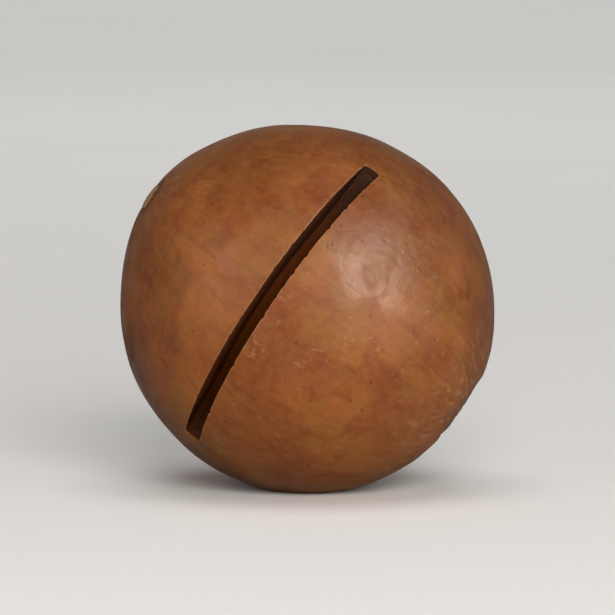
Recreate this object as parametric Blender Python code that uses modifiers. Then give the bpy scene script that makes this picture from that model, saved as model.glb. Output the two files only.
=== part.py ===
"""A macadamia nut in its shell, sawn with one slit so that it can be prised open.

The nut is a single solid. It is turned about its own axis, which runs from the hilum (the broad
scar where it hung on the stalk) to the micropyle (the small plug at the tip), then given the
shallow relief of a grown thing. It lies on the floor on a small flat spot, with the slit facing
the front (-Y). Metres, +Z up, origin on the floor below the middle of the nut.
"""

import math

import bmesh
import bpy
from mathutils import Matrix, Vector, noise

# Size of the nut, across its axis and along it, and of the spot it rests on.
NUT_WIDTH = 0.0222
NUT_LENGTH = 0.0231
REST_SPOT_WIDTH = 0.0042

# How the nut lies. The tip points to the left of the front and upwards.
TIP_AZIMUTH = math.radians(-82)
TIP_ELEVATION = math.radians(36)

# The saw cut: one circular kerf, as deep as the shell is thick, that runs out at both ends.
# Its plane passes a little to the upper left of the nut's centre.
SLIT_WIDTH = 0.00105
SLIT_DEPTH = 0.0026
SLIT_ARC = math.radians(121.6)
SLIT_FULL_DEPTH_ARC = math.radians(64)
SLIT_AZIMUTH = math.radians(-12.1)
SLIT_ELEVATION = math.radians(6.0)
SLIT_LEAN = math.radians(33.6)
SLIT_OFFSET = 0.00040
SLIT_OVERCUT = 0.0015
SLIT_POINT_STEP = math.radians(3.5)

# The tip: a low swelling that carries the micropyle, a round plug inside a ring groove.
TIP_SWELLING = 0.00026
TIP_SPREAD = math.radians(19)
PLUG_RADIUS = 0.00080
PLUG_HEIGHT = 0.00004
RING_RADIUS = 0.00110
RING_WIDTH = 0.00030
RING_DEPTH = 0.00006

# The hilum: a flattened base with a sunken, ragged scar and a stalk trace in its middle.
BASE_FLATTENING = 0.00030
BASE_SPREAD = math.radians(26)
SCAR_RADIUS = 0.0042
SCAR_DEPTH = 0.00020
SCAR_EDGE = 0.0005
SCAR_ROUGHNESS = 0.00012
SCAR_WAVES = 10
SCAR_LOBES = ((3, 0.10, 0.4), (5, 0.06, 1.9), (8, 0.035, 3.1))
STALK_TRACE_RADIUS = 0.0007
STALK_TRACE_HEIGHT = 0.00018

# The seam: a faint ridge from the tip to the base, along the upper back of the nut.
SEAM_LONGITUDE = math.radians(48)
SEAM_HEIGHT = 0.00007
SEAM_WIDTH = 0.0007

# Uneven growth: broad swellings all over, as (waves over the nut, height).
SWELLINGS = ((1.1, 0.00022), (2.6, 0.00007))
SWELLING_START = Vector((3.7, 1.9, 6.2))

# Mesh density. Rows stand closer round the plug and the scar than between them.
TURN_STEPS = 72
PLUG_ROW_STEP = 0.00030
PLUG_ROWS = 6
SCAR_ROW_STEP = 0.00060
SCAR_ROWS = 9
MIDDLE_ROWS = 28
MERGE_DISTANCE = 0.00001
SMOOTH_ANGLE = math.radians(40)

# Finish of the shell.
SHELL_COLOUR = (0.25, 0.09, 0.032, 1.0)
SHELL_ROUGHNESS = 0.42

BENCH_SIZE = 0.06


def clear_scene():
    """Removes whatever the file opened with."""
    for obj in list(bpy.data.objects):
        bpy.data.objects.remove(obj)


def new_collection(name):
    """A collection linked to the scene."""
    collection = bpy.data.collections.new(name)
    bpy.context.scene.collection.children.link(collection)
    return collection


def direction(azimuth, elevation):
    """Unit vector that points azimuth to the right of the front (-Y) and elevation upwards."""
    level = math.cos(elevation)
    return Vector((level * math.sin(azimuth), -level * math.cos(azimuth), math.sin(elevation)))


def bell(distance, spread):
    """A smooth bump: 1 at no distance, and near 0 past twice the spread."""
    return math.exp(-((distance / spread) ** 2))


def step_down(distance, edge, width):
    """1 inside the edge and 0 outside it, with a smooth slope of that width between."""
    return 0.5 - 0.5 * math.tanh((distance - edge) / (width / 2))


def turned_radius(polar):
    """Distance from the centre to the turned shell, at this angle from the tip."""
    across = math.sin(polar) / (NUT_WIDTH / 2)
    along = math.cos(polar) / (NUT_LENGTH / 2)
    ellipse = 1 / math.hypot(across, along)
    tip = TIP_SWELLING * bell(polar, TIP_SPREAD)
    base = BASE_FLATTENING * bell(math.pi - polar, BASE_SPREAD)
    return ellipse + tip - base


def plug_relief(away):
    """Height of the plug and its ring groove, at this distance over the shell from the tip."""
    plug = PLUG_HEIGHT * step_down(away, PLUG_RADIUS, RING_WIDTH)
    ring = RING_DEPTH * bell(away - RING_RADIUS, RING_WIDTH)
    return plug - ring


def scar_relief(away, longitude, unit):
    """Height of the scar at the base: sunken, ragged in outline and rough inside."""
    lobes = sum(size * math.sin(count * longitude + turn) for count, size, turn in SCAR_LOBES)
    inside = step_down(away, SCAR_RADIUS * (1 + lobes), SCAR_EDGE)
    rough = SCAR_ROUGHNESS * noise.noise(unit * SCAR_WAVES)
    trace = STALK_TRACE_HEIGHT * bell(away, STALK_TRACE_RADIUS)
    return inside * (rough - SCAR_DEPTH) + trace


def seam_relief(polar, longitude):
    """Height of the seam, which fades out before the plug and the scar."""
    turn = math.remainder(longitude - SEAM_LONGITUDE, math.tau)
    sideways = abs(turn) * math.sin(polar) * NUT_WIDTH / 2
    return SEAM_HEIGHT * bell(sideways, SEAM_WIDTH) * math.sin(polar) ** 2


def swelling_relief(unit):
    """Height of the broad swellings of uneven growth."""
    return sum(
        height * noise.noise(unit * waves + SWELLING_START * waves) for waves, height in SWELLINGS
    )


def relief(point):
    """Height of the shell above its turned form, at a point given in the nut's own axes."""
    unit = point.normalized()
    polar = math.acos(max(-1.0, min(1.0, unit.z)))
    longitude = math.atan2(unit.y, unit.x)
    to_tip = polar * NUT_WIDTH / 2
    to_base = (math.pi - polar) * NUT_WIDTH / 2
    return (
        plug_relief(to_tip)
        + scar_relief(to_base, longitude, unit)
        + seam_relief(polar, longitude)
        + swelling_relief(unit)
    )


def profile_angles():
    """Angles from the tip of the profile's points, closer together at its two ends."""
    near_tip = [row * PLUG_ROW_STEP / (NUT_WIDTH / 2) for row in range(PLUG_ROWS + 1)]
    near_base = [
        math.pi - row * SCAR_ROW_STEP / (NUT_WIDTH / 2) for row in range(SCAR_ROWS, -1, -1)
    ]
    gap = (near_base[0] - near_tip[-1]) / MIDDLE_ROWS
    middle = [near_tip[-1] + row * gap for row in range(1, MIDDLE_ROWS)]
    return near_tip + middle + near_base


def turned_shell(collection):
    """The nut's half outline, turned about its axis with a Screw modifier."""
    mesh = bpy.data.meshes.new("nut_outline")
    points = []
    for polar in profile_angles():
        radius = turned_radius(polar)
        points.append((radius * math.sin(polar), 0, radius * math.cos(polar)))
    edges = [(i, i + 1) for i in range(len(points) - 1)]
    mesh.from_pydata(points, edges, [])
    outline = bpy.data.objects.new("nut_outline", mesh)
    collection.objects.link(outline)

    turn = outline.modifiers.new("turn", "SCREW")
    turn.angle = math.tau
    turn.steps = TURN_STEPS
    turn.render_steps = TURN_STEPS
    turn.use_merge_vertices = True
    turn.merge_threshold = MERGE_DISTANCE
    return outline


def solid_mesh(source, name):
    """The mesh of an object as its modifiers and bevels make it, with doubled points joined."""
    bpy.context.view_layer.update()
    evaluated = source.evaluated_get(bpy.context.evaluated_depsgraph_get())
    mesh = bpy.data.meshes.new_from_object(evaluated)
    mesh.name = name
    shape = bmesh.new()
    shape.from_mesh(mesh)
    bmesh.ops.remove_doubles(shape, verts=shape.verts, dist=MERGE_DISTANCE)
    bmesh.ops.recalc_face_normals(shape, faces=shape.faces)
    shape.to_mesh(mesh)
    shape.free()
    return mesh


def raise_relief(mesh):
    """Moves each point of the shell out or in by the relief there."""
    for vertex in mesh.vertices:
        vertex.co += vertex.co.normalized() * relief(vertex.co)
    mesh.update()


def lay_down(nut):
    """Turns the nut so that it lies as it rests, and sinks its lowest point by the flat spot."""
    tip = direction(TIP_AZIMUTH, TIP_ELEVATION)
    side = tip.cross(Vector((0, 0, 1))).normalized()
    top = side.cross(tip)
    turn = Matrix((top, side, tip)).transposed()
    nut.rotation_euler = turn.to_euler()

    places = [turn @ vertex.co for vertex in nut.data.vertices]
    middle = [(min(p[i] for p in places) + max(p[i] for p in places)) / 2 for i in (0, 1)]
    lowest = min(p.z for p in places)
    radius = NUT_WIDTH / 2
    flat_depth = radius - math.sqrt(radius**2 - (REST_SPOT_WIDTH / 2) ** 2)
    nut.location = (-middle[0], -middle[1], -lowest - flat_depth)


def kerf_points():
    """Outline of the saw cut in its own plane: +X out through its middle, +Y along it."""
    half = SLIT_ARC / 2
    full = SLIT_FULL_DEPTH_ARC / 2
    surface = (NUT_WIDTH + NUT_LENGTH) / 4
    steps = round(half / SLIT_POINT_STEP)
    angles = [half * i / steps for i in range(-steps, steps + 1)]
    floor = []
    for angle in angles:
        run_out = max(0.0, (abs(angle) - full) / (half - full))
        floor.append((surface - SLIT_DEPTH * (1 - run_out**2), angle))
    outside = [(surface + SLIT_OVERCUT, angle) for angle in reversed(angles)]
    return [(r * math.cos(a), r * math.sin(a), 0) for r, a in floor + outside]


def saw_kerf(centre, collection):
    """The cutter for the slit: a flat outline as thick as the saw blade, set in the slit's plane."""
    points = kerf_points()
    curve = bpy.data.curves.new("kerf_outline", "CURVE")
    curve.dimensions = "2D"
    curve.fill_mode = "BOTH"
    curve.extrude = SLIT_WIDTH / 2
    spline = curve.splines.new("POLY")
    spline.points.add(len(points) - 1)
    for point, place in zip(spline.points, points):
        point.co = (*place, 1)
    spline.use_cyclic_u = True
    outline = bpy.data.objects.new("kerf_outline", curve)
    collection.objects.link(outline)

    kerf = bpy.data.objects.new("saw_kerf", solid_mesh(outline, "saw_kerf"))
    bpy.data.objects.remove(outline)
    outward = direction(SLIT_AZIMUTH, SLIT_ELEVATION)
    right = Vector((0, 0, 1)).cross(outward).normalized()
    upward = outward.cross(right)
    along = upward * math.cos(SLIT_LEAN) + right * math.sin(SLIT_LEAN)
    across = outward.cross(along)
    kerf.rotation_euler = Matrix((outward, along, across)).transposed().to_euler()
    kerf.location = centre + across * SLIT_OFFSET
    collection.objects.link(kerf)
    return kerf


def bench(collection):
    """A block whose top is the floor, which cuts the small flat spot the nut rests on."""
    bpy.ops.mesh.primitive_cube_add(size=BENCH_SIZE, location=(0, 0, -BENCH_SIZE / 2))
    block = bpy.context.active_object
    block.name = "bench"
    for home in list(block.users_collection):
        home.objects.unlink(block)
    collection.objects.link(block)
    return block


def cut_away(nut, cutter):
    """Takes the cutter out of the nut, and leaves the cutter as a helper that isn't rendered."""
    cut = nut.modifiers.new(cutter.name, "BOOLEAN")
    cut.operation = "DIFFERENCE"
    cut.object = cutter
    cutter.hide_render = True
    cutter.display_type = "WIRE"


def shell_material():
    """The satin brown finish of the shell."""
    material = bpy.data.materials.new("shell_brown")
    material.use_nodes = True
    shader = material.node_tree.nodes["Principled BSDF"]
    shader.inputs["Base Color"].default_value = SHELL_COLOUR
    shader.inputs["Roughness"].default_value = SHELL_ROUGHNESS
    shader.inputs["Metallic"].default_value = 0.0
    material.diffuse_color = SHELL_COLOUR
    return material


def main():
    """Builds the nut, lays it down, and cuts its slit and its flat spot."""
    clear_scene()
    parts = new_collection("macadamia_nut_in_shell")
    cutters = new_collection("cutters")

    outline = turned_shell(parts)
    nut = bpy.data.objects.new("macadamia_nut", solid_mesh(outline, "macadamia_nut"))
    bpy.data.objects.remove(outline)
    parts.objects.link(nut)
    raise_relief(nut.data)
    lay_down(nut)

    cut_away(nut, saw_kerf(nut.location, cutters))
    cut_away(nut, bench(cutters))
    nut.data.materials.append(shell_material())
    nut.data.shade_smooth()
    nut.data.set_sharp_from_angle(angle=SMOOTH_ANGLE)


main()
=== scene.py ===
"""The looks of one macadamia nut in its shell, sawn with a slit, on a plain pale floor.

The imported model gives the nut's size and place. One fine mesh stands for its plain solid: a ball
whose rings run along the slit, with the slit extruded into it and the relief of the shell raised on
it. Lengths are in metres and angles in radians, +Z is up, and the front of the nut faces -Y.
"""

import logging
import math
from collections.abc import Callable, Iterator
from contextlib import contextmanager
from dataclasses import dataclass, field
from enum import Enum

import bmesh
import bpy
import numpy as np
from mathutils import Matrix, Vector, noise


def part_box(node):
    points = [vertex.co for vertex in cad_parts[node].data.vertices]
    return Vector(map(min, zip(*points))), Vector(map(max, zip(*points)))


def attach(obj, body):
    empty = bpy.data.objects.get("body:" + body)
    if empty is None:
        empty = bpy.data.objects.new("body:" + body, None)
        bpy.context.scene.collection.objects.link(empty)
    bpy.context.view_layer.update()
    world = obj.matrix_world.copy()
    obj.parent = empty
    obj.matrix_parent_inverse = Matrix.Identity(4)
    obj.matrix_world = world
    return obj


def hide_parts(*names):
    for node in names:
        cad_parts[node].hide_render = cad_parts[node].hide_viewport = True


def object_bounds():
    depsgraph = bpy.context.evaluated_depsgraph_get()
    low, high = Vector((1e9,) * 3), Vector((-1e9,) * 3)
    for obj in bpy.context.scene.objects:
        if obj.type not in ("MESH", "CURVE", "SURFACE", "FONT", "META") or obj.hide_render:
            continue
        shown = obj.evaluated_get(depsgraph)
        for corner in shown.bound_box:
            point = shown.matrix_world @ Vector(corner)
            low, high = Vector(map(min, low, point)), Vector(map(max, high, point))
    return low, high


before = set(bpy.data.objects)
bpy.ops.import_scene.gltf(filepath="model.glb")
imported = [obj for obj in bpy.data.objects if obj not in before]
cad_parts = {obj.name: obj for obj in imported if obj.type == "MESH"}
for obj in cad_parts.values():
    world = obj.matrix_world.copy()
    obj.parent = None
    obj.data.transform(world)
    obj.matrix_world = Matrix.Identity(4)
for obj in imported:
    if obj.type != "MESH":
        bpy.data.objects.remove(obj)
CAD_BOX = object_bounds()

MM = 0.001
NUT_NODE = "macadamia_nut"
NUT_BODY = "root"

Array = np.ndarray
Colour = tuple[float, float, float]
Span = tuple[float, float]
Socket = bpy.types.NodeSocket
Feed = Socket | float | tuple

WHOLE: Span = (0.0, 1.0)

log = logging.getLogger("macadamia_nut")


class Mark(Enum):
    """Measures kept on each point of the shell, which its materials read.

    BELOW_SKIN, FROM_TIP and SAW_PLACE are in millimetres. RIM runs from 0 to 1, and FROM_BASE is a
    share of the scar's reach. GRAIN is a point on a unit circle round the axis, and the angle from
    the tip.
    """

    BELOW_SKIN = "below_skin"
    RIM = "rim"
    FROM_TIP = "from_tip"
    FROM_BASE = "from_base"
    GRAIN = "grain"
    SAW_PLACE = "saw_place"


class ShellFace(Enum):
    """The two kinds of face on the shell, by the number of their material slot."""

    SKIN = 0
    SAWN = 1


class FallsOn(Enum):
    """What a light falls on."""

    ALL = "all"
    NUT = "nut"
    FLOOR = "floor"


def direction(azimuth: float, elevation: float) -> Vector:
    """Unit vector that points azimuth to the right of the front and elevation upwards."""
    level = math.cos(elevation)
    return Vector((level * math.sin(azimuth), -level * math.cos(azimuth), math.sin(elevation)))


def bell(distance: Array, spread: float) -> Array:
    """A smooth bump: 1 at no distance, and near 0 past twice the spread."""
    return np.exp(-((distance / spread) ** 2))


def step_down(distance: Array, edge: Array | float, width: float) -> Array:
    """1 inside the edge and 0 outside it, with a smooth slope of that width between."""
    return 0.5 - 0.5 * np.tanh((distance - edge) / (width / 2))


def step_up(value: Array, low: float, high: float) -> Array:
    """0 below low and 1 above high, with a smooth slope between."""
    share = np.clip((value - low) / (high - low), 0.0, 1.0)
    return share * share * (3 - 2 * share)


def noise_at(places: Array, waves: float = 1.0, start: Vector = Vector((0, 0, 0))) -> Array:
    """Smooth noise from -1 to 1 at many places.

    Args:
        places: One place a row.
        waves: How many waves the noise makes over a unit of length.
        start: Where in the noise the places begin, in units of length.

    Returns:
        One value for each place.
    """
    scaled = (places + np.array(start)) * waves
    return np.fromiter((noise.noise(Vector(place)) for place in scaled), float, len(scaled))


@contextmanager
def editing(obj: bpy.types.Object, select: str = "FACE") -> Iterator[None]:
    """Opens one object in edit mode with nothing selected, and closes it again.

    Args:
        obj: The object to work on.
        select: What is picked: VERT, EDGE or FACE.
    """
    make_active(obj)
    bpy.ops.object.mode_set(mode="EDIT")
    bpy.ops.mesh.select_mode(type=select)
    bpy.ops.mesh.select_all(action="DESELECT")
    yield
    bpy.ops.object.mode_set(mode="OBJECT")


def make_active(obj: bpy.types.Object) -> None:
    """Selects this object alone and makes it the active one."""
    bpy.ops.object.select_all(action="DESELECT")
    obj.select_set(True)
    bpy.context.view_layer.objects.active = obj


def pick_faces(obj: bpy.types.Object, wanted: Callable[[Vector], bool]) -> None:
    """Selects, in edit mode, only the faces whose middle is wanted."""
    bpy.ops.mesh.select_mode(type="FACE")
    bpy.ops.mesh.select_all(action="DESELECT")
    shape = bmesh.from_edit_mesh(obj.data)
    for face in [face for face in shape.faces if wanted(face.calc_center_median())]:
        face.select_set(True)
    bmesh.update_edit_mesh(obj.data)


def pick_edges(obj: bpy.types.Object, wanted: Callable[[bmesh.types.BMEdge], bool]) -> None:
    """Selects, in edit mode, only the wanted edges."""
    bpy.ops.mesh.select_mode(type="EDGE")
    bpy.ops.mesh.select_all(action="DESELECT")
    shape = bmesh.from_edit_mesh(obj.data)
    for edge in [edge for edge in shape.edges if wanted(edge)]:
        edge.select_set(True)
    bmesh.update_edit_mesh(obj.data)


def apply_modifier(obj: bpy.types.Object, kind: str, **settings: object) -> None:
    """Adds one modifier with these settings and applies it."""
    make_active(obj)
    bpy.ops.object.modifier_add(type=kind)
    modifier = obj.modifiers[-1]
    for name, value in settings.items():
        setattr(modifier, name, value)
    bpy.ops.object.modifier_apply(modifier=modifier.name)


def read_places(mesh: bpy.types.Mesh) -> Array:
    """The mesh's points, one a row."""
    places = np.empty(len(mesh.vertices) * 3)
    mesh.vertices.foreach_get("co", places)
    return places.reshape(-1, 3)


def write_mark(mesh: bpy.types.Mesh, mark: Mark, values: Array) -> None:
    """Keeps a measure on the mesh's points, as a number or as a vector."""
    is_vector = values.ndim == 2
    kept = mesh.attributes.new(mark.value, "FLOAT_VECTOR" if is_vector else "FLOAT", "POINT")
    kept.data.foreach_set("vector" if is_vector else "value", values.ravel().astype(np.float32))


@dataclass(frozen=True)
class Lie:
    """How the nut lies: its tip points to the left of the front and upwards."""

    tip_azimuth: float = math.radians(-82)
    tip_elevation: float = math.radians(36)

    def axes(self) -> Matrix:
        """The nut's own axes as columns, with its tip last."""
        tip = direction(self.tip_azimuth, self.tip_elevation)
        side = tip.cross(Vector((0, 0, 1))).normalized()
        return Matrix((side.cross(tip), side, tip)).transposed()


@dataclass(frozen=True)
class ShellForm:
    """The form of the shell about its own axis, which runs from the hilum to the tip."""

    width: float = 22.2 * MM
    length: float = 23.1 * MM

    tip_swelling: float = 0.26 * MM
    tip_spread: float = math.radians(19)
    plug_radius: float = 0.80 * MM
    plug_height: float = 0.04 * MM
    ring_radius: float = 1.10 * MM
    ring_width: float = 0.30 * MM
    ring_depth: float = 0.06 * MM

    base_flattening: float = 0.30 * MM
    base_spread: float = math.radians(26)
    scar_radius: float = 4.2 * MM
    scar_depth: float = 0.20 * MM
    scar_edge: float = 0.5 * MM
    scar_roughness: float = 0.12 * MM
    scar_waves: float = 10
    scar_lobes: tuple[tuple[int, float, float], ...] = ((3, 0.10, 0.4), (5, 0.06, 1.9), (8, 0.035, 3.1))
    scar_jag: float = 0.10
    scar_jag_spokes: float = 3.2
    fibre_height: float = 0.07 * MM
    fibre_spokes: float = 7.0
    fibre_length: float = 3 * scar_radius
    trace_radius: float = 0.7 * MM
    trace_height: float = 0.18 * MM

    seam_longitude: float = math.radians(48)
    seam_height: float = 0.07 * MM
    seam_width: float = 0.7 * MM

    swellings: tuple[Span, ...] = ((1.1, 0.22 * MM), (2.6, 0.07 * MM))
    swelling_start: Vector = Vector((3.7, 1.9, 6.2))
    dimples: tuple[Span, ...] = ((4.5, 0.026 * MM), (9, 0.010 * MM), (17, 0.004 * MM))
    dimple_start: Vector = Vector((11.3, 5.1, 8.7))

    def radius(self, polar: Array) -> Array:
        """Distance from the centre to the turned shell, at these angles from the tip."""
        across = np.sin(polar) / (self.width / 2)
        along = np.cos(polar) / (self.length / 2)
        tip = self.tip_swelling * bell(polar, self.tip_spread)
        base = self.base_flattening * bell(np.pi - polar, self.base_spread)
        return 1 / np.hypot(across, along) + tip - base

    def plug(self, away: Array) -> Array:
        """Height of the plug and its ring groove, at these distances from the tip."""
        plug = self.plug_height * step_down(away, self.plug_radius, self.ring_width)
        return plug - self.ring_depth * bell(away - self.ring_radius, self.ring_width)

    def scar_border(self, spokes: Array, longitude: Array) -> Array:
        """Distance from the middle of the scar to its ragged border.

        Args:
            spokes: Unit vectors that point out from the nut's axis.
            longitude: The angle of each of them round the axis.

        Returns:
            The distance along each of them.
        """
        lobes = sum(size * np.sin(count * longitude + turn) for count, size, turn in self.scar_lobes)
        jag = self.scar_jag * noise_at(spokes, self.scar_jag_spokes)
        return self.scar_radius * (1 + lobes + jag)

    def scar(self, away: Array, border: Array, spokes: Array, unit: Array) -> Array:
        """Height of the scar: sunken, torn in spokes, with the stalk's trace in its middle.

        Args:
            away: Distance over the shell from the middle of the scar.
            border: Distance from there to the border, in the same direction.
            spokes: Unit vectors that point out from the nut's axis.
            unit: Unit vectors from the nut's centre.

        Returns:
            The height above the turned shell.
        """
        inside = step_down(away, border, self.scar_edge)
        rough = self.scar_roughness * noise_at(unit, self.scar_waves)
        torn = spokes + np.outer(away / self.fibre_length, (0, 0, 1))
        fibres = self.fibre_height * noise_at(torn, self.fibre_spokes) * step_up(away, 0, border.mean())
        trace = self.trace_height * bell(away, self.trace_radius)
        return inside * (rough + fibres - self.scar_depth) + trace

    def seam(self, polar: Array, longitude: Array) -> Array:
        """Height of the seam, which fades out before the plug and the scar."""
        turn = (longitude - self.seam_longitude + np.pi) % math.tau - np.pi
        sideways = np.abs(turn) * np.sin(polar) * self.width / 2
        return self.seam_height * bell(sideways, self.seam_width) * np.sin(polar) ** 2

    def uneven_growth(self, unit: Array) -> Array:
        """Height of the broad swellings and of the small dimples all over the shell."""
        broad = sum(height * noise_at(unit, waves, self.swelling_start) for waves, height in self.swellings)
        small = sum(height * noise_at(unit, waves, self.dimple_start) for waves, height in self.dimples)
        return broad + small


@dataclass(frozen=True)
class SawCut:
    """The slit: one kerf of a round blade, which runs out at both ends."""

    width: float = 1.05 * MM
    depth: float = 2.6 * MM
    half_arc: float = math.radians(60.8)
    half_full_arc: float = math.radians(32)
    azimuth: float = math.radians(-12.1)
    elevation: float = math.radians(6.0)
    lean: float = math.radians(33.6)
    offset: float = 0.40 * MM

    end_depth: float = 0.12 * MM
    end_ramp: float = math.radians(1.2)
    rim_bevel: float = 0.06 * MM
    rim_segments: int = 2
    wall_cuts: int = 4
    floor_crease: float = 0.8

    wander: float = 0.035 * MM
    wander_length: float = 3.5 * MM
    wander_start: float = 3.0
    score_height: float = 0.012 * MM
    score_length: float = 4.0 * MM
    score_pitch: float = 0.34 * MM
    score_top: Span = (0.1 * MM, 0.3 * MM)
    chip_size: float = 0.055 * MM
    chip_sink: float = 0.5
    chip_length: float = 0.45 * MM
    chip_reach: float = 0.16 * MM
    chip_cover: Span = (0.12, 0.55)
    chip_row_gap: float = 7.0

    def axes(self) -> Matrix:
        """The slit's axes as columns: out through its middle, along it, and across it."""
        outward = direction(self.azimuth, self.elevation)
        right = Vector((0, 0, 1)).cross(outward).normalized()
        upward = outward.cross(right)
        along = upward * math.cos(self.lean) + right * math.sin(self.lean)
        return Matrix((outward, along, outward.cross(along))).transposed()

    def depth_at(self, angle: float) -> float:
        """Depth of the slit's floor at this angle from its middle."""
        run_out = (abs(angle) - self.half_full_arc) / (self.half_arc - self.half_full_arc)
        return self.end_depth + (self.depth - self.end_depth) * (1 - max(0.0, run_out) ** 2)

    def moved_aside(self, places: Array, away: Array) -> Array:
        """Moves the slit off the middle of the ball.

        Args:
            places: The ball's points, in the slit's axes.
            away: Their distances from the ball's centre, which are kept.

        Returns:
            The moved points.
        """
        height = places[:, 2] + self.offset * (1 - (places[:, 2] / away) ** 2)
        level = np.sqrt(np.clip(away**2 - height**2, 0, None))
        turn = np.arctan2(places[:, 1], places[:, 0])
        return np.stack((level * np.cos(turn), level * np.sin(turn), height), axis=1)

    def saw_marks(self, places: Array, below: Array, ball_radius: float) -> tuple[Array, Array, Array]:
        """What the blade left beside and inside the slit.

        Args:
            places: The ball's points, in the slit's axes.
            below: How far each of them lies below the skin.
            ball_radius: The radius of the ball.

        Returns:
            How far each point moves across the slit, how far it sinks, and how near the rim it is,
            from 0 to 1.
        """
        side = np.sign(places[:, 2])
        angle = np.arctan2(places[:, 1], places[:, 0])
        arc = angle * ball_radius
        from_rim = np.abs(np.abs(places[:, 2]) - self.width / 2)
        beyond = np.clip(np.abs(angle) - self.half_arc, 0, None) * ball_radius
        near = bell(from_rim, self.chip_reach) * bell(beyond, self.chip_reach)
        rim = near * bell(below, self.chip_reach)

        zero = np.zeros(len(arc))
        chip_places = np.stack((arc / self.chip_length, self.chip_row_gap * side, zero), axis=1)
        chips = self.chip_size * step_up(noise_at(chip_places), *self.chip_cover) * rim
        wander_places = np.stack((arc / self.wander_length, zero, zero + self.wander_start), axis=1)
        wander = self.wander * noise_at(wander_places) * near
        score_places = np.stack((arc / self.score_length, below / self.score_pitch, side), axis=1)
        scores = self.score_height * noise_at(score_places) * step_up(below, *self.score_top) * near
        return side * (chips + scores) + wander, self.chip_sink * chips, rim


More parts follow.
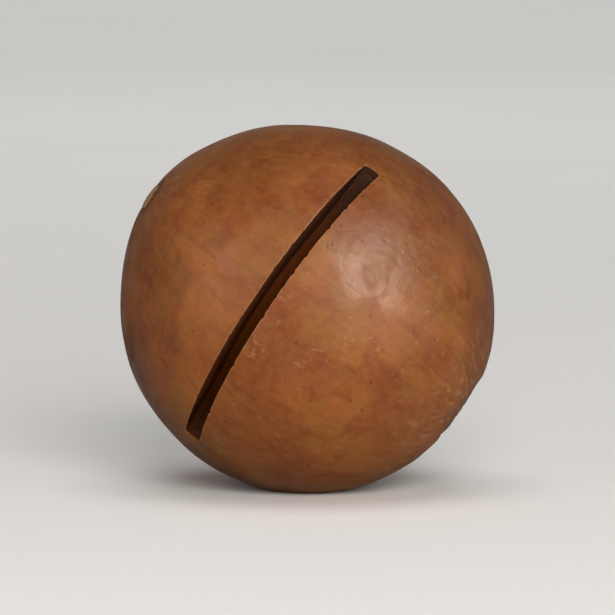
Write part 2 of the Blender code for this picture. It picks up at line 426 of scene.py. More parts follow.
@dataclass
class NutShell:
    """The whole nut: a ball with its slit, its relief and its small flat resting spot.

    A face counts as sawn where its lowest corner lies more than sawn_deepest below the skin and its
    highest more than sawn_shallowest. These two are in millimetres, like the mark that they test.
    """

    form: ShellForm = field(default_factory=ShellForm)
    cut: SawCut = field(default_factory=SawCut)
    lie: Lie = field(default_factory=Lie)
    columns: int = 180
    rings: int = 80
    fine_band: float = 0.85 * MM
    fine_tip: float = 1.9 * MM
    fine_base: float = 5.0 * MM
    corner_angle: float = math.radians(35)
    smooth_angle: float = math.radians(50)
    spot_merge: float = 1e-7
    sawn_deepest: float = 0.05
    sawn_shallowest: float = 0.01

    @property
    def ball_radius(self) -> float:
        """Mean radius of the nut, which the ball starts with."""
        return (self.form.width + self.form.length) / 4

    def build(self) -> bpy.types.Object:
        """Models the nut at its place in the frame and returns it."""
        nut = self._ball()
        self._open_slit(nut)
        self._refine(nut)
        self._raise_relief(nut)
        self._set_down(nut)
        self._sort_faces(nut)
        return nut

    def _ball(self) -> bpy.types.Object:
        """A ball whose middle rings lie along the slit, two of them on the slit's rims."""
        bpy.ops.mesh.primitive_uv_sphere_add(
            segments=self.columns, ring_count=self.rings, radius=self.ball_radius, calc_uvs=False
        )
        ball = bpy.context.active_object
        ball.name = "sawn_nut_shell"
        ball.data.name = ball.name
        step = math.pi / self.rings
        rim = math.asin(self.cut.width / 2 / self.ball_radius)
        spread = (math.pi / 2 - rim) / (math.pi / 2 - step)
        for vertex in ball.data.vertices:
            height = math.asin(max(-1.0, min(1.0, vertex.co.z / self.ball_radius)))
            if abs(height) > step / 2:
                moved = math.copysign(rim + (abs(height) - step) * spread, height)
                level = math.hypot(vertex.co.x, vertex.co.y) or 1.0
                vertex.co.xy *= self.ball_radius * math.cos(moved) / level
                vertex.co.z = self.ball_radius * math.sin(moved)
        return ball

    def _open_slit(self, ball: bpy.types.Object) -> None:
        """Extrudes the band between the two rims down to the slit's floor."""
        cut = self.cut
        surface = self.ball_radius - cut.end_depth / 2
        last_middle = cut.half_arc - math.pi / self.columns

        def in_band(middle: Vector) -> bool:
            """Whether a face lies between the two rims and short of the slit's ends."""
            return abs(middle.z) < cut.width / 2 and abs(math.atan2(middle.y, middle.x)) < last_middle

        def is_corner(edge: bmesh.types.BMEdge) -> bool:
            """Whether the faces beside an edge meet at a sharp angle."""
            return edge.calc_face_angle(0) > self.corner_angle

        def is_rim(edge: bmesh.types.BMEdge) -> bool:
            """Whether an edge is where the skin meets a wall of the slit."""
            return is_corner(edge) and min(vertex.co.length for vertex in edge.verts) > surface

        def is_floor_corner(edge: bmesh.types.BMEdge) -> bool:
            """Whether an edge is where a wall meets the slit's floor."""
            return is_corner(edge) and max(vertex.co.length for vertex in edge.verts) < surface

        with editing(ball):
            pick_faces(ball, in_band)
            bpy.ops.mesh.extrude_region_move(TRANSFORM_OT_translate={"value": (0, 0, 0)})
            self._sink_floor(ball)
            pick_edges(ball, is_rim)
            bpy.ops.mesh.bevel(offset=cut.rim_bevel, segments=cut.rim_segments, affect="EDGES")
            tallest = self._tallest_wall_edge(ball)
            pick_edges(ball, lambda edge: edge.index == tallest)
            bpy.ops.mesh.loop_multi_select(ring=True)
            bpy.ops.mesh.subdivide(number_cuts=cut.wall_cuts)
            pick_edges(ball, is_floor_corner)
            bpy.ops.transform.edge_crease(value=cut.floor_crease)

    def _sink_floor(self, ball: bpy.types.Object) -> None:
        """Moves the extruded points to the slit's floor, and its two ends a little inwards."""
        shape = bmesh.from_edit_mesh(ball.data)
        floor = [vertex for vertex in shape.verts if vertex.select]
        last = max(abs(math.atan2(vertex.co.y, vertex.co.x)) for vertex in floor)
        for vertex in floor:
            angle = math.atan2(vertex.co.y, vertex.co.x)
            if abs(angle) > last - self.cut.end_ramp / 2:
                angle = math.copysign(last - self.cut.end_ramp, angle)
            reach = self.ball_radius - self.cut.depth_at(angle)
            vertex.co.x = reach * math.cos(angle)
            vertex.co.y = reach * math.sin(angle)
        bmesh.update_edit_mesh(ball.data)

    def _tallest_wall_edge(self, ball: bpy.types.Object) -> int:
        """Index of the edge that spans most of a wall's height."""
        shape = bmesh.from_edit_mesh(ball.data)
        shape.edges.index_update()
        rise = [abs(edge.verts[0].co.length - edge.verts[1].co.length) for edge in shape.edges]
        return rise.index(max(rise))

    def _refine(self, ball: bpy.types.Object) -> None:
        """Subdivides the ball, once more along the slit and at both ends of the nut's axis."""
        apply_modifier(ball, "SUBSURF", levels=1, render_levels=1, use_limit_surface=False)
        to_nut = self.lie.axes().transposed() @ self.cut.axes()
        tip = to_nut.transposed() @ Vector((0, 0, 1))
        slit_end = self.cut.half_arc + self.fine_band / self.ball_radius

        def is_fine(middle: Vector) -> bool:
            """Whether a face lies by the slit, at the tip or at the base."""
            by_slit = abs(middle.z) < self.fine_band and abs(math.atan2(middle.y, middle.x)) < slit_end
            to_tip = middle.angle(tip) * self.ball_radius
            to_base = middle.angle(-tip) * self.ball_radius
            return by_slit or to_tip < self.fine_tip or to_base < self.fine_base

        with editing(ball):
            pick_faces(ball, is_fine)
            bpy.ops.mesh.subdivide(number_cuts=1)

    def _raise_relief(self, nut: bpy.types.Object) -> None:
        """Turns the ball as the nut lies, raises its relief, and keeps its measures for the finish."""
        places = read_places(nut.data)
        saw_axes = np.array(self.cut.axes())
        nut_axes = np.array(self.lie.axes())
        away = np.linalg.norm(places, axis=1)
        below = np.clip(self.ball_radius - away, 0, None)
        moved = self.cut.moved_aside(places, away)
        unit = (moved @ saw_axes.T / away[:, None]) @ nut_axes
        polar = np.arccos(np.clip(unit[:, 2], -1, 1))
        longitude = np.arctan2(unit[:, 1], unit[:, 0])
        spokes = np.stack((np.cos(longitude), np.sin(longitude), np.zeros(len(polar))), axis=1)
        to_tip = polar * self.form.width / 2
        to_base = (np.pi - polar) * self.form.width / 2
        border = self.form.scar_border(spokes, longitude)

        relief = self.form.plug(to_tip) + self.form.scar(to_base, border, spokes, unit)
        relief += self.form.seam(polar, longitude) + self.form.uneven_growth(unit)
        rise = self.form.radius(polar) + relief - self.ball_radius
        rise *= 1 - np.clip(below / self.cut.depth, 0, 1)
        sideways, sunk, rim = self.cut.saw_marks(places, below, self.ball_radius)
        reach = (away + rise - sunk)[:, None]
        shaped = unit @ nut_axes.T * reach + np.outer(sideways, saw_axes[:, 2])

        nut.data.vertices.foreach_set("co", shaped.ravel())
        nut.data.update()
        arc = np.arctan2(places[:, 1], places[:, 0]) * self.ball_radius
        write_mark(nut.data, Mark.BELOW_SKIN, below / MM)
        write_mark(nut.data, Mark.RIM, rim)
        write_mark(nut.data, Mark.FROM_TIP, to_tip / MM)
        write_mark(nut.data, Mark.FROM_BASE, to_base / border)
        write_mark(nut.data, Mark.GRAIN, np.stack((spokes[:, 0], spokes[:, 1], polar), axis=1))
        write_mark(nut.data, Mark.SAW_PLACE, np.stack((arc, below, places[:, 2]), axis=1) / MM)

    def _set_down(self, nut: bpy.types.Object) -> None:
        """Moves the nut to its place in the frame, and flattens the spot that it rests on."""
        places = read_places(nut.data)
        low, high = (np.array(corner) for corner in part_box(NUT_NODE))
        shift = (low + high) / 2 - (places.min(0) + places.max(0)) / 2
        shift[2] = high[2] - places[:, 2].max()
        nut.data.transform(Matrix.Translation(Vector(shift)))
        with editing(nut):
            bpy.ops.mesh.select_all(action="SELECT")
            bpy.ops.mesh.bisect(
                plane_co=(0, 0, 0), plane_no=(0, 0, 1), use_fill=True, clear_inner=True,
                threshold=self.spot_merge,
            )
        make_active(nut)
        bpy.ops.object.shade_smooth_by_angle(angle=self.smooth_angle)

    def _sort_faces(self, nut: bpy.types.Object) -> None:
        """Gives the faces inside the slit the sawn slot, and all others the skin's."""
        mesh = nut.data
        below = np.empty(len(mesh.vertices), np.float32)
        mesh.attributes[Mark.BELOW_SKIN.value].data.foreach_get("value", below)
        corners = np.empty(len(mesh.loops), np.int32)
        mesh.loops.foreach_get("vertex_index", corners)
        starts = np.empty(len(mesh.polygons), np.int32)
        mesh.polygons.foreach_get("loop_start", starts)
        deepest = np.maximum.reduceat(below[corners], starts)
        shallowest = np.minimum.reduceat(below[corners], starts)
        sawn = (deepest > self.sawn_deepest) & (shallowest > self.sawn_shallowest)
        slots = np.where(sawn, ShellFace.SAWN.value, ShellFace.SKIN.value)
        mesh.polygons.foreach_set("material_index", slots.astype(np.int32))


class NodeBench:
    """Adds and links the nodes of one tree."""

    MIX_SHARE = 0
    MIX_UNDER = 6
    MIX_OVER = 7
    MIX_RESULT = 2

    def __init__(self, tree: bpy.types.NodeTree) -> None:
        """Starts work on a tree."""
        self.tree = tree

    def add(self, kind: str, **settings: object) -> bpy.types.Node:
        """Adds a node of this kind with these settings."""
        node = self.tree.nodes.new(kind)
        for name, value in settings.items():
            setattr(node, name, value)
        return node

    def feed(self, socket: Socket, value: Feed) -> None:
        """Links a socket to another, or sets it to a plain value."""
        if isinstance(value, bpy.types.NodeSocket):
            self.tree.links.new(value, socket)
        elif isinstance(value, tuple) and socket.type == "RGBA":
            socket.default_value = (*value, 1.0)
        else:
            socket.default_value = value

    def maths(self, operation: str, first: Feed, second: Feed = 0.0) -> Socket:
        """One sum, product or the like of two values."""
        node = self.add("ShaderNodeMath", operation=operation)
        self.feed(node.inputs[0], first)
        self.feed(node.inputs[1], second)
        return node.outputs[0]

    def times(self, first: Feed, second: Feed) -> Socket:
        """The product of two values."""
        return self.maths("MULTIPLY", first, second)

    def total(self, *values: Feed) -> Feed:
        """The sum of several values."""
        result = values[0]
        for value in values[1:]:
            result = self.maths("ADD", result, value)
        return result

    def mix(self, share: Feed, under: Feed, over: Feed) -> Socket:
        """Lays one colour over another.

        Args:
            share: How much of the upper colour shows, from 0 to 1.
            under: The lower colour.
            over: The upper colour.

        Returns:
            The mixed colour.
        """
        node = self.add("ShaderNodeMix", data_type="RGBA")
        self.feed(node.inputs[self.MIX_SHARE], share)
        self.feed(node.inputs[self.MIX_UNDER], under)
        self.feed(node.inputs[self.MIX_OVER], over)
        return node.outputs[self.MIX_RESULT]

    def remap(self, value: Feed, source: tuple[Feed, Feed], target: Span = WHOLE) -> Socket:
        """Turns one range of values into another, smoothly and without overshoot.

        Args:
            value: The value to turn.
            source: The two ends of its own range, the first of which may be the higher.
            target: What these two ends become.

        Returns:
            The turned value.
        """
        node = self.add("ShaderNodeMapRange", interpolation_type="SMOOTHSTEP")
        self.feed(node.inputs["Value"], value)
        self.feed(node.inputs["From Min"], source[0])
        self.feed(node.inputs["From Max"], source[1])
        self.feed(node.inputs["To Min"], target[0])
        self.feed(node.inputs["To Max"], target[1])
        return node.outputs["Result"]

    def place(self) -> Socket:
        """The place on the object, in metres."""
        return self.add("ShaderNodeTexCoord").outputs["Object"]

    def mark(self, mark: Mark, output: str = "Fac") -> Socket:
        """A measure kept on the mesh's points."""
        return self.add("ShaderNodeAttribute", attribute_name=mark.value).outputs[output]

    def stretched(self, place: Feed, scale: tuple[float, float, float]) -> Socket:
        """The same place with its axes scaled, so that a pattern on it is drawn out."""
        node = self.add("ShaderNodeMapping")
        self.feed(node.inputs["Vector"], place)
        self.feed(node.inputs["Scale"], scale)
        return node.outputs["Vector"]

    def use(self, group: bpy.types.NodeTree, place: Feed, **numbers: float) -> Socket:
        """Sets a node group on these places, with its own numbers, and returns its amount."""
        node = self.add("ShaderNodeGroup", node_tree=group)
        self.feed(node.inputs["Place"], place)
        for name, value in numbers.items():
            self.feed(node.inputs[name.capitalize()], value)
        return node.outputs["Amount"]


def new_group(name: str, *numbers: str) -> tuple[NodeBench, bpy.types.Node, bpy.types.Node]:
    """Starts a node group that turns a place and some numbers into an amount.

    Args:
        name: The group's name.
        numbers: The names of the numbers that it takes.

    Returns:
        The bench for its nodes, the node that holds its inputs, and the one that takes its output.
    """
    tree = bpy.data.node_groups.new(name, "ShaderNodeTree")
    tree.interface.new_socket("Place", in_out="INPUT", socket_type="NodeSocketVector")
    for label in numbers:
        tree.interface.new_socket(label, in_out="INPUT", socket_type="NodeSocketFloat")
    tree.interface.new_socket("Amount", in_out="OUTPUT", socket_type="NodeSocketFloat")
    bench = NodeBench(tree)
    return bench, bench.add("NodeGroupInput"), bench.add("NodeGroupOutput")


@dataclass(frozen=True)
class Mottle:
    """One cloudy pattern: its patches, how fine and how warped they are, and where they begin and end.

    The patch is in the unit of the places under it: metres over the object, and millimetres for the
    saw's scores. With drawn_out the pattern follows the shell's grain. The patch is then in radians
    round the axis, and the lower drawn_out is, the longer it runs from tip to base.
    """

    patch: float
    detail: float
    warp: float
    low: float
    high: float
    drawn_out: float | None = None


@dataclass(frozen=True)
class Speckle:
    """One pattern of scattered round specks: the size of its cells, and of the specks in them."""

    cell: float
    size: float
    softness: float
    share: float


class Patterns:
    """The node groups that the finishes share: cloudy mottling, and scattered specks."""

    SPECK_SIZES: Span = (0.35, 1.0)

    def __init__(self) -> None:
        """Builds each group once."""
        self.mottling = self._mottling()
        self.specks = self._specks()

    def mottle(self, bench: NodeBench, place: Feed, look: Mottle) -> Socket:
        """Lays one cloudy pattern over these places."""
        return bench.use(
            self.mottling, place,
            patch=look.patch, detail=look.detail, warp=look.warp, low=look.low, high=look.high,
        )

    def speckle(self, bench: NodeBench, place: Feed, look: Speckle) -> Socket:
        """Scatters one pattern of specks over these places."""
        return bench.use(
            self.specks, place, cell=look.cell, size=look.size, softness=look.softness, share=look.share
        )

    @staticmethod
    def _mottling() -> bpy.types.NodeTree:
        """Cloudy patches of one size, from 0 below Low to 1 above High."""
        bench, given, result = new_group("mottling", "Patch", "Detail", "Warp", "Low", "High")
        cloud = bench.add("ShaderNodeTexNoise")
        bench.feed(cloud.inputs["Vector"], given.outputs["Place"])
        bench.feed(cloud.inputs["Scale"], bench.maths("DIVIDE", 1.0, given.outputs["Patch"]))
        bench.feed(cloud.inputs["Detail"], given.outputs["Detail"])
        bench.feed(cloud.inputs["Distortion"], given.outputs["Warp"])
        spread = bench.remap(cloud.outputs["Fac"], (given.outputs["Low"], given.outputs["High"]))
        bench.feed(result.inputs["Amount"], spread)
        return bench.tree

    @classmethod
    def _specks(cls) -> bpy.types.NodeTree:
        """Scattered round specks: each cell holds one speck of its own size, or none."""
        bench, given, result = new_group("scattered_specks", "Cell", "Size", "Softness", "Share")
        cells = bench.add("ShaderNodeTexVoronoi", feature="F1")
        bench.feed(cells.inputs["Vector"], given.outputs["Place"])
        bench.feed(cells.inputs["Scale"], bench.maths("DIVIDE", 1.0, given.outputs["Cell"]))
        draws = bench.add("ShaderNodeSeparateColor")
        bench.feed(draws.inputs["Color"], cells.outputs["Color"])
        drawn_size = bench.remap(draws.outputs["Green"], WHOLE, cls.SPECK_SIZES)
        own_size = bench.times(given.outputs["Size"], drawn_size)
        outer = bench.total(own_size, given.outputs["Softness"])
        inside = bench.remap(cells.outputs["Distance"], (outer, own_size))
        present = bench.maths("LESS_THAN", draws.outputs["Red"], given.outputs["Share"])
        bench.feed(result.inputs["Amount"], bench.times(inside, present))
        return bench.tree


@dataclass
class Coat:
    """A material in the making, with the colour, roughness and height laid on it so far."""

    bench: NodeBench
    patterns: Patterns
    place: Feed
    grain: Feed = 0.0
    colour: Feed = 0.0
    roughness: Feed = 0.0
    height: Feed = 0.0

    def mottle(self, look: Mottle) -> Socket:
        """One cloudy pattern, over the object or along the grain of the shell."""
        if look.drawn_out is None:
            return self.patterns.mottle(self.bench, self.place, look)
        along_grain = self.bench.stretched(self.grain, (1, 1, look.drawn_out))
        return self.patterns.mottle(self.bench, along_grain, look)

    def speckle(self, look: Speckle) -> Socket:
        """One pattern of scattered specks over the object."""
        return self.patterns.speckle(self.bench, self.place, look)

    def frayed(self, distance: Feed, fray: Feed, reach: float) -> Socket:
        """A distance whose level lines wander in and out by half the reach, as the fray says."""
        return self.bench.total(distance, self.bench.times(fray, reach), -reach / 2)

    def between(self, share: Feed, span: Span) -> Socket:
        """The span's first value where the share is 0, and its second where it is 1."""
        return self.bench.remap(share, WHOLE, span)

    def paint(self, share: Feed, colour: Feed) -> None:
        """Lays a colour over what is there, as far as the share says."""
        self.colour = self.bench.mix(share, self.colour, colour)

    def roughen(self, share: Feed, amount: float) -> None:
        """Makes the surface rougher by this amount, as far as the share says."""
        self.roughness = self.bench.total(self.roughness, self.bench.times(share, amount))

    def emboss(self, share: Feed, amount: float) -> None:
        """Raises the surface by this amount, or sinks it, as far as the share says."""
        self.height = self.bench.total(self.height, self.bench.times(share, amount))

    def dress(self, shader: bpy.types.Node, shine: float, bump_distance: float) -> None:
        """Feeds the finished layers to a shader.

        Args:
            shader: The material's Principled shader.
            shine: Its specular level.
            bump_distance: How high the surface stands where the height is 1.
        """
        bump = self.bench.add("ShaderNodeBump")
        bump.inputs["Distance"].default_value = bump_distance
        self.bench.feed(bump.inputs["Height"], self.height)
        self.bench.feed(shader.inputs["Base Color"], self.colour)
        self.bench.feed(shader.inputs["Roughness"], self.roughness)
        self.bench.feed(shader.inputs["Normal"], bump.outputs["Normal"])
        shader.inputs["Specular IOR Level"].default_value = shine


def new_material(name: str) -> tuple[bpy.types.Material, NodeBench, bpy.types.Node]:
    """A material with its bench and its Principled shader."""
    material = bpy.data.materials.new(name)
    material.use_nodes = True
    return material, NodeBench(material.node_tree), material.node_tree.nodes["Principled BSDF"]


@dataclass(frozen=True)
class ShellColours:
    """The colours that several layers of the skin share."""

    dark: Colour = (0.048, 0.013, 0.004)
    fleck: Colour = (0.380, 0.180, 0.072)
    grime: Colour = (0.170, 0.075, 0.032)


@dataclass(frozen=True)
class PlainSkin:
    """The hard satin skin: soft mottling, streaks along the grain, pale flecks and dark pits."""

    shared: ShellColours = ShellColours()
    brown: Colour = (0.172, 0.046, 0.0092)
    amber: Colour = (0.252, 0.076, 0.014)
    ochre: Colour = (0.205, 0.078, 0.012)
    russet: Colour = (0.150, 0.029, 0.007)

    tones: Mottle = Mottle(4.6 * MM, 2.5, 0.5, 0.34, 0.68)
    stains: Mottle = Mottle(3.7 * MM, 3.5, 0.6, 0.44, 0.66)
    clouds: Mottle = Mottle(2.2 * MM, 4.0, 0.6, 0.43, 0.73)
    grit: Mottle = Mottle(0.50 * MM, 2.0, 0.3, 0.30, 0.70)
    streaks: Mottle = Mottle(0.045, 3.0, 0.4, 0.48, 0.74, drawn_out=0.16)
    flecks: Mottle = Mottle(0.024, 3.0, 0.5, 0.58, 0.72, drawn_out=0.7)
    crowds: Mottle = Mottle(3.2 * MM, 3.0, 0.4, 0.44, 0.66)
    scuffs: Mottle = Mottle(2.6 * MM, 5.0, 1.0, 0.42, 0.62)
    pits: Speckle = Speckle(0.62 * MM, 0.13, 0.10, 0.30)

    stain_share: float = 0.60
    cloud_share: float = 0.60
    streak_share: float = 0.25
    grit_share: float = 0.10
    fleck_share: Span = (0.05, 0.40)
    pit_share: float = 0.45

    roughness: float = 0.36
    scuff_roughness: float = 0.20
    grit_roughness: float = 0.06
    fleck_roughness: float = 0.06

    grit_height: float = 1.0
    streak_height: float = -0.5
    pit_height: float = -1.2
    fleck_height: float = 0.4

    def lay(self, coat: Coat) -> None:
        """Starts the coat with the plain skin."""
        times = coat.bench.times
        grit, streaks = coat.mottle(self.grit), coat.mottle(self.streaks)
        flecks, pits = coat.mottle(self.flecks), coat.speckle(self.pits)
        coat.colour = self.brown
        coat.paint(coat.mottle(self.tones), self.amber)
        coat.paint(times(coat.mottle(self.stains), self.stain_share), self.ochre)
        coat.paint(times(coat.mottle(self.clouds), self.cloud_share), self.russet)
        coat.paint(times(streaks, self.streak_share), self.shared.dark)
        coat.paint(times(grit, self.grit_share), self.shared.fleck)
        crowded = coat.between(coat.mottle(self.crowds), self.fleck_share)
        coat.paint(times(flecks, crowded), self.shared.fleck)
        coat.paint(times(pits, self.pit_share), self.shared.dark)

        coat.roughness = self.roughness
        coat.roughen(coat.mottle(self.scuffs), self.scuff_roughness)
        coat.roughen(grit, self.grit_roughness)
        coat.roughen(flecks, self.fleck_roughness)
        coat.emboss(grit, self.grit_height)
        coat.emboss(streaks, self.streak_height)
        coat.emboss(pits, self.pit_height)
        coat.emboss(flecks, self.fleck_height)


@dataclass(frozen=True)
class RubbedRim:
    """The paler, rubbed edge of the skin beside the slit."""

    raw: Colour = (0.270, 0.115, 0.042)
    tears: Mottle = Mottle(0.35 * MM, 3.0, 0.3, 0.35, 0.60)
    nearness: Span = (0.55, 1.0)
    share: Span = (0.15, 0.65)
    roughness: float = 0.25

    def lay(self, coat: Coat) -> None:
        """Lays the rubbed edge over the skin."""
        near = coat.bench.remap(coat.bench.mark(Mark.RIM), self.nearness)
        worn = coat.bench.times(near, coat.between(coat.mottle(self.tears), self.share))
        coat.paint(worn, self.raw)
        coat.roughen(worn, self.roughness)


@dataclass(frozen=True)
class TipPlug:
    """The pale plug at the tip, the dark ring round it and its faint rays.

    Where each begins and ends is given in millimetres from the middle of the plug.
    """

    shared: ShellColours = ShellColours()
    pale: Colour = (0.380, 0.230, 0.115)
    wear: Mottle = Mottle(0.6 * MM, 4.0, 0.5, 0.30, 0.70)
    wear_reach: float = 0.28
    rays: Mottle = Mottle(0.12, 4.0, 0.3, 0.46, 0.72, drawn_out=0.6)
    ray_share: Span = (0.06, 0.45)
    grime: Mottle = Mottle(0.3 * MM, 3.0, 0.5, 0.40, 0.70)
    grime_share: float = 0.5
    ring_share: Span = (0.9, 0.5)

    halo_edge: Span = (4.6, 1.2)
    ring_inner_edge: Span = (0.75, 0.95)
    ring_outer_edge: Span = (1.5, 1.05)
    plug_edge: Span = (0.92, 0.74)
    pore_edge: Span = (0.24, 0.08)
    roughness: float = 0.25

    def lay(self, coat: Coat) -> None:
        """Lays the plug, its ring and its rays over the skin."""
        bench = coat.bench
        wear = coat.mottle(self.wear)
        away = coat.frayed(bench.mark(Mark.FROM_TIP), wear, self.wear_reach)
        rays = coat.between(coat.mottle(self.rays), self.ray_share)
        coat.paint(bench.times(bench.remap(away, self.halo_edge), rays), self.shared.fleck)
        ring = bench.times(bench.remap(away, self.ring_inner_edge), bench.remap(away, self.ring_outer_edge))
        coat.paint(bench.times(ring, coat.between(wear, self.ring_share)), self.shared.dark)
        grimy = bench.times(coat.mottle(self.grime), self.grime_share)
        plug = bench.mix(grimy, self.pale, self.shared.grime)
        plug = bench.mix(bench.remap(away, self.pore_edge), plug, self.shared.grime)
        on_plug = bench.remap(away, self.plug_edge)
        coat.paint(on_plug, plug)
        coat.roughen(on_plug, self.roughness)


@dataclass(frozen=True)
class HilumScar:
    """The matt scar at the base, its broken dark border and the pale streaks round it.

    Where each begins and ends is given as a share of the scar's own reach in that direction.
    """

    shared: ShellColours = ShellColours()
    pale: Colour = (0.330, 0.180, 0.088)
    fray: Mottle = Mottle(1.1 * MM, 5.0, 0.6, 0.30, 0.70)
    fray_reach: float = 0.26
    streaks: Mottle = Mottle(0.055, 3.0, 0.3, 0.50, 0.70, drawn_out=0.6)
    streak_share: Span = (0.10, 0.75)
    border_share: Span = (0.25, 0.80)
    crumbs: Mottle = Mottle(0.28 * MM, 4.0, 0.6, 0.40, 0.65)
    crumb_share: float = 0.40
    clouds: Mottle = Mottle(1.5 * MM, 4.0, 0.8, 0.36, 0.64)
    fibres: Mottle = Mottle(0.14, 4.0, 0.8, 0.42, 0.70, drawn_out=0.9)
    fibre_share: float = 0.45

    halo_edge: Span = (2.7, 1.0)
    border_inner_edge: Span = (0.80, 0.98)
    border_outer_edge: Span = (1.30, 1.02)
    scar_edge: Span = (1.0, 0.90)
    trace_edge: Span = (0.20, 0.06)
    trace_share: Span = (0.0, 0.7)
    roughness: float = 0.38
    height: float = 2.5

    def lay(self, coat: Coat) -> None:
        """Lays the scar, its border and its streaks over the skin."""
        bench = coat.bench
        fray = coat.mottle(self.fray)
        away = coat.frayed(bench.mark(Mark.FROM_BASE), fray, self.fray_reach)
        streaks = coat.between(coat.mottle(self.streaks), self.streak_share)
        coat.paint(bench.times(bench.remap(away, self.halo_edge), streaks), self.shared.fleck)
        inner, outer = (bench.remap(away, edge) for edge in (self.border_inner_edge, self.border_outer_edge))
        border = bench.times(bench.times(inner, outer), coat.between(fray, self.border_share))
        coat.paint(border, self.shared.dark)

        crumbs, clouds, fibres = (coat.mottle(look) for look in (self.crumbs, self.clouds, self.fibres))
        torn = bench.mix(clouds, self.shared.grime, self.pale)
        torn = bench.mix(bench.times(fibres, self.fibre_share), torn, self.shared.grime)
        torn = bench.mix(bench.times(crumbs, self.crumb_share), torn, self.shared.dark)
        torn = bench.mix(bench.remap(away, self.trace_edge, self.trace_share), torn, self.shared.dark)
        inside = bench.remap(away, self.scar_edge)
        coat.paint(inside, torn)
        coat.roughen(inside, self.roughness)
        coat.emboss(bench.times(inside, bench.total(crumbs, clouds, fibres)), self.height)


@dataclass(frozen=True)
class SkinFinish:
    """The outside of the shell: the plain skin, and what lies on it."""

    layers: tuple[PlainSkin | RubbedRim | TipPlug | HilumScar, ...] = (
        PlainSkin(), RubbedRim(), TipPlug(), HilumScar(),
    )
    shine: float = 0.26
    bump_distance: float = 0.007 * MM

    def material(self, patterns: Patterns) -> bpy.types.Material:
        """Builds the skin's material."""
        material, bench, shader = new_material("satin_shell_skin")
        coat = Coat(bench, patterns, bench.place(), grain=bench.mark(Mark.GRAIN, "Vector"))
        for layer in self.layers:
            layer.lay(coat)
        coat.dress(shader, self.shine, self.bump_distance)
        return material


@dataclass(frozen=True)
class SawnFinish:
    """The raw shell inside the slit, scored along the saw's path, with painted shade that deepens towards
    its floor and darkens its two ends.

    Depths, and distances along and across the slit, are in millimetres.
    """

    # upper is the sawn shell's colour near the skin; middle and bottom are the same shell with painted
    # shade, darker the deeper they lie.
    upper: Colour = (0.120, 0.030, 0.005)
    middle: Colour = (0.090, 0.021, 0.003)
    bottom: Colour = (0.045, 0.010, 0.001)
    fibre: Colour = (0.160, 0.050, 0.012)
    # Painted shade at the slit's two ends.
    end_shade: Colour = (0.022, 0.006, 0.0015)

    scores: Mottle = Mottle(0.16, 4.0, 0.1, 0.35, 0.65)
    score_stretch: tuple[float, float, float] = (0.12, 1, 0.3)
    score_depth: Span = (1.9, 0.1)
    score_share: Span = (0.0, 0.45)
    crumbs: Speckle = Speckle(0.24 * MM, 0.3, 0.2, 0.45)
    crumb_depth: Span = (1.2, 0.1)
    crumb_share: Span = (0.0, 0.4)

    # Depths over which the painted shade deepens, and the span across the slit's floor that the darkest
    # painted shade covers.
    middle_depth: Span = (0.0, 0.7)
    bottom_depth: Span = (0.6, 2.2)
    floor_edge: Span = (0.50, 0.43)
    # Distances along the slit over which the painted shade at the ends comes in, and how strong it gets.
    end_edge: Span = (6.5, 10.5)
    end_shade_share: Span = (0.0, 0.9)
    roughness: Span = (0.85, 0.65)
    shine: float = 0.1
    bump_distance: float = 0.02 * MM

    def material(self, patterns: Patterns) -> bpy.types.Material:
        """Builds the material of the sawn faces."""
        material, bench, shader = new_material("sawn_shell")
        saw_place = bench.mark(Mark.SAW_PLACE, "Vector")
        split = bench.add("ShaderNodeSeparateXYZ")
        bench.feed(split.inputs["Vector"], saw_place)
        along, across = (bench.maths("ABSOLUTE", split.outputs[axis]) for axis in "XZ")
        below = bench.mark(Mark.BELOW_SKIN)
        scores = patterns.mottle(bench, bench.stretched(saw_place, self.score_stretch), self.scores)
        coat = Coat(bench, patterns, bench.place(), colour=self.upper)
        crumbs = coat.speckle(self.crumbs)

        # Painted shade: darker the deeper below the skin, and darkest on the slit's floor.
        coat.paint(bench.remap(below, self.middle_depth), self.middle)
        coat.paint(bench.remap(below, self.bottom_depth), self.bottom)
        coat.paint(bench.remap(across, self.floor_edge), self.bottom)
        scored = bench.remap(below, self.score_depth, self.score_share)
        coat.paint(bench.times(scores, scored), self.fibre)
        dusted = bench.remap(below, self.crumb_depth, self.crumb_share)
        coat.paint(bench.times(crumbs, dusted), self.fibre)
        # Painted shade at both ends of the slit.
        coat.paint(bench.remap(along, self.end_edge, self.end_shade_share), self.end_shade)
        coat.roughness = coat.between(scores, self.roughness)
        coat.height = bench.total(scores, crumbs)
        coat.dress(shader, self.shine, self.bump_distance)
        return material


@dataclass(frozen=True)
class FloorFinish:
    """The plain pale matt floor, which throws less light back on the nut than it shows."""

    pale: Colour = (0.90, 0.89, 0.875)
    shade: Colour = (0.888, 0.878, 0.863)
    thrown_back: Colour = (0.35, 0.34, 0.33)
    clouds: Mottle = Mottle(40 * MM, 3.0, 0.2, 0.35, 0.65)
    roughness: float = 0.8

    def material(self, patterns: Patterns) -> bpy.types.Material:
        """Builds the floor's material."""
        material, bench, shader = new_material("pale_floor")
        coat = Coat(bench, patterns, bench.place(), colour=self.pale)
        coat.paint(coat.mottle(self.clouds), self.shade)
        ray = bench.add("ShaderNodeLightPath")
        is_bounce = bench.maths("MAXIMUM", ray.outputs["Is Diffuse Ray"], ray.outputs["Is Glossy Ray"])
        coat.paint(is_bounce, self.thrown_back)
        bench.feed(shader.inputs["Base Color"], coat.colour)
        shader.inputs["Roughness"].default_value = self.roughness
        return material


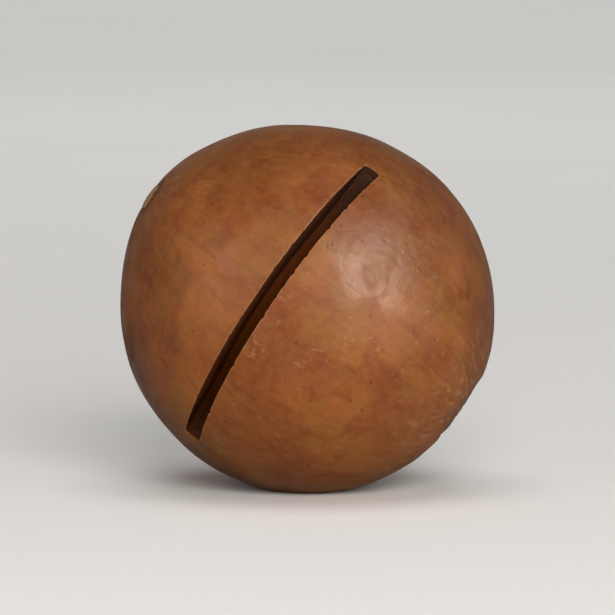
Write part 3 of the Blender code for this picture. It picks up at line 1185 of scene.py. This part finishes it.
@dataclass(frozen=True)
class SoftLight:
    """One soft square light, placed round the nut and aimed at a place beside its middle."""

    name: str
    azimuth: float
    elevation: float
    distance: float
    size: float
    power: float
    colour: Colour = (1.0, 1.0, 1.0)
    aim: Vector = Vector((0, 0, 0))
    diffuse: bool = True
    glossy: bool = True
    falls_on: FallsOn = FallsOn.ALL

    def hang(self, middle: Vector, lit: bpy.types.Object | None) -> None:
        """Hangs the light and turns it to what it is aimed at.

        Args:
            middle: The middle of the nut.
            lit: The only object that the light falls on, or None where it falls on all.
        """
        lamp = bpy.data.lights.new(self.name, "AREA")
        lamp.size = self.size
        lamp.energy = self.power
        lamp.color = self.colour
        place = direction(self.azimuth, self.elevation) * self.distance
        hung = bpy.data.objects.new(self.name, lamp)
        hung.location = middle + place
        hung.rotation_euler = (place - self.aim).to_track_quat("Z", "Y").to_euler()
        hung.visible_camera = False
        hung.visible_diffuse = self.diffuse
        hung.visible_glossy = self.glossy
        if lit is not None:
            hung.light_linking.receiver_collection = bpy.data.collections.new(f"lit_by_{self.name}")
            hung.light_linking.receiver_collection.objects.link(lit)
        bpy.context.scene.collection.objects.link(hung)


@dataclass
class Studio:
    """A round pale floor that curves up all round, soft lights and the camera."""

    floor_radius: float = 0.70
    floor_sides: int = 96
    floor_border: float = floor_radius / 20
    floor_levels: int = 2
    cove: tuple[Span, ...] = ((1.30, 0.02), (1.18, 0.08), (1.06, 0.16), (1.0, 0.28))
    camera_elevation: float = math.radians(5)
    camera_lens: float = 300.0
    camera_distance: float = 0.31
    camera_clip: float = 0.01
    world_colour: Colour = (1.0, 0.985, 0.96)
    world_strength: float = 0.11
    lights: tuple[SoftLight, ...] = (
        SoftLight(
            "key", azimuth=math.radians(9), elevation=math.radians(17), distance=0.60, size=0.30,
            power=4.8, colour=(1.0, 0.97, 0.93), glossy=False,
        ),
        SoftLight(
            "sheen", azimuth=math.radians(45), elevation=math.radians(25), distance=0.60, size=0.36,
            power=8.4, colour=(1.0, 0.94, 0.84), diffuse=False,
        ),
        SoftLight(
            "side_sheen", azimuth=math.radians(-48), elevation=math.radians(20), distance=0.60, size=0.34,
            power=1.6, diffuse=False,
        ),
        SoftLight(
            "backdrop", azimuth=math.radians(180), elevation=math.radians(69), distance=0.85, size=0.44,
            power=4.6, aim=Vector((0, 1.24, 0.46)),
        ),
        SoftLight(
            "back_fill", azimuth=math.radians(195), elevation=math.radians(20), distance=0.60, size=0.40,
            power=2.2, colour=(1.0, 0.97, 0.93), glossy=False, falls_on=FallsOn.NUT,
        ),
        SoftLight(
            "floor_light", azimuth=math.radians(0), elevation=math.radians(80), distance=0.80, size=0.60,
            power=2.3, glossy=False, falls_on=FallsOn.FLOOR,
        ),
    )

    def build(self, patterns: Patterns, nut: bpy.types.Object) -> None:
        """Makes the floor, the lights, the surroundings and the camera.

        Args:
            patterns: The node groups that the floor's finish uses.
            nut: The finished nut, which some lights fall on alone.
        """
        lit = {FallsOn.NUT: nut, FallsOn.FLOOR: self._floor(patterns)}
        low, high = CAD_BOX
        middle = (low + high) / 2
        for light in self.lights:
            light.hang(middle, lit.get(light.falls_on))
        self._surroundings()
        self._camera(middle)

    def _floor(self, patterns: Patterns) -> bpy.types.Object:
        """A disc whose edge is drawn out and up into a low smooth bowl."""
        bpy.ops.object.select_all(action="DESELECT")
        bpy.ops.mesh.primitive_circle_add(
            vertices=self.floor_sides, radius=self.floor_radius, fill_type="NGON"
        )
        floor = bpy.context.active_object
        floor.name = "pale_floor"
        with editing(floor, "EDGE"):
            bpy.ops.mesh.select_all(action="SELECT")
            bpy.ops.mesh.inset(thickness=self.floor_border)
            pick_edges(floor, lambda edge: edge.is_boundary)
            for spread, rise in self.cove:
                bpy.ops.mesh.extrude_region_move(TRANSFORM_OT_translate={"value": (0, 0, rise)})
                bpy.ops.transform.resize(value=(spread, spread, 1), center_override=(0, 0, 0))
        apply_modifier(floor, "SUBSURF", levels=self.floor_levels, render_levels=self.floor_levels)
        bpy.ops.object.shade_smooth()
        floor.data.materials.append(FloorFinish().material(patterns))
        return floor

    def _surroundings(self) -> None:
        """Fills the room above the floor with even pale light."""
        world = bpy.data.worlds.new("pale_room")
        world.use_nodes = True
        background = world.node_tree.nodes["Background"]
        background.inputs["Color"].default_value = (*self.world_colour, 1.0)
        background.inputs["Strength"].default_value = self.world_strength
        bpy.context.scene.world = world
        bpy.context.scene.view_settings.view_transform = "Standard"

    def _camera(self, middle: Vector) -> None:
        """Sets the camera level with the nut, a little above it."""
        camera = bpy.data.cameras.new("camera")
        camera.lens = self.camera_lens
        camera.clip_start = self.camera_clip
        out = direction(0.0, self.camera_elevation)
        held = bpy.data.objects.new("camera", camera)
        held.location = middle + out * self.camera_distance
        held.rotation_euler = out.to_track_quat("Z", "Y").to_euler()
        bpy.context.scene.collection.objects.link(held)
        bpy.context.scene.camera = held


def main() -> None:
    """Builds the nut and the studio in order."""
    patterns = Patterns()
    nut = NutShell().build()
    nut.data.materials.append(SkinFinish().material(patterns))
    nut.data.materials.append(SawnFinish().material(patterns))
    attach(nut, NUT_BODY)
    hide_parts(NUT_NODE)
    triangles = sum(len(face.vertices) - 2 for face in nut.data.polygons)
    log.info("%s: %d triangles", nut.name, triangles)

    studio = Studio()
    studio.build(patterns, nut)
    log.info("studio: floor, %d lights and camera", len(studio.lights))


if __name__ == "__main__":
    logging.basicConfig(level=logging.INFO, format="%(name)s: %(message)s")
    main()
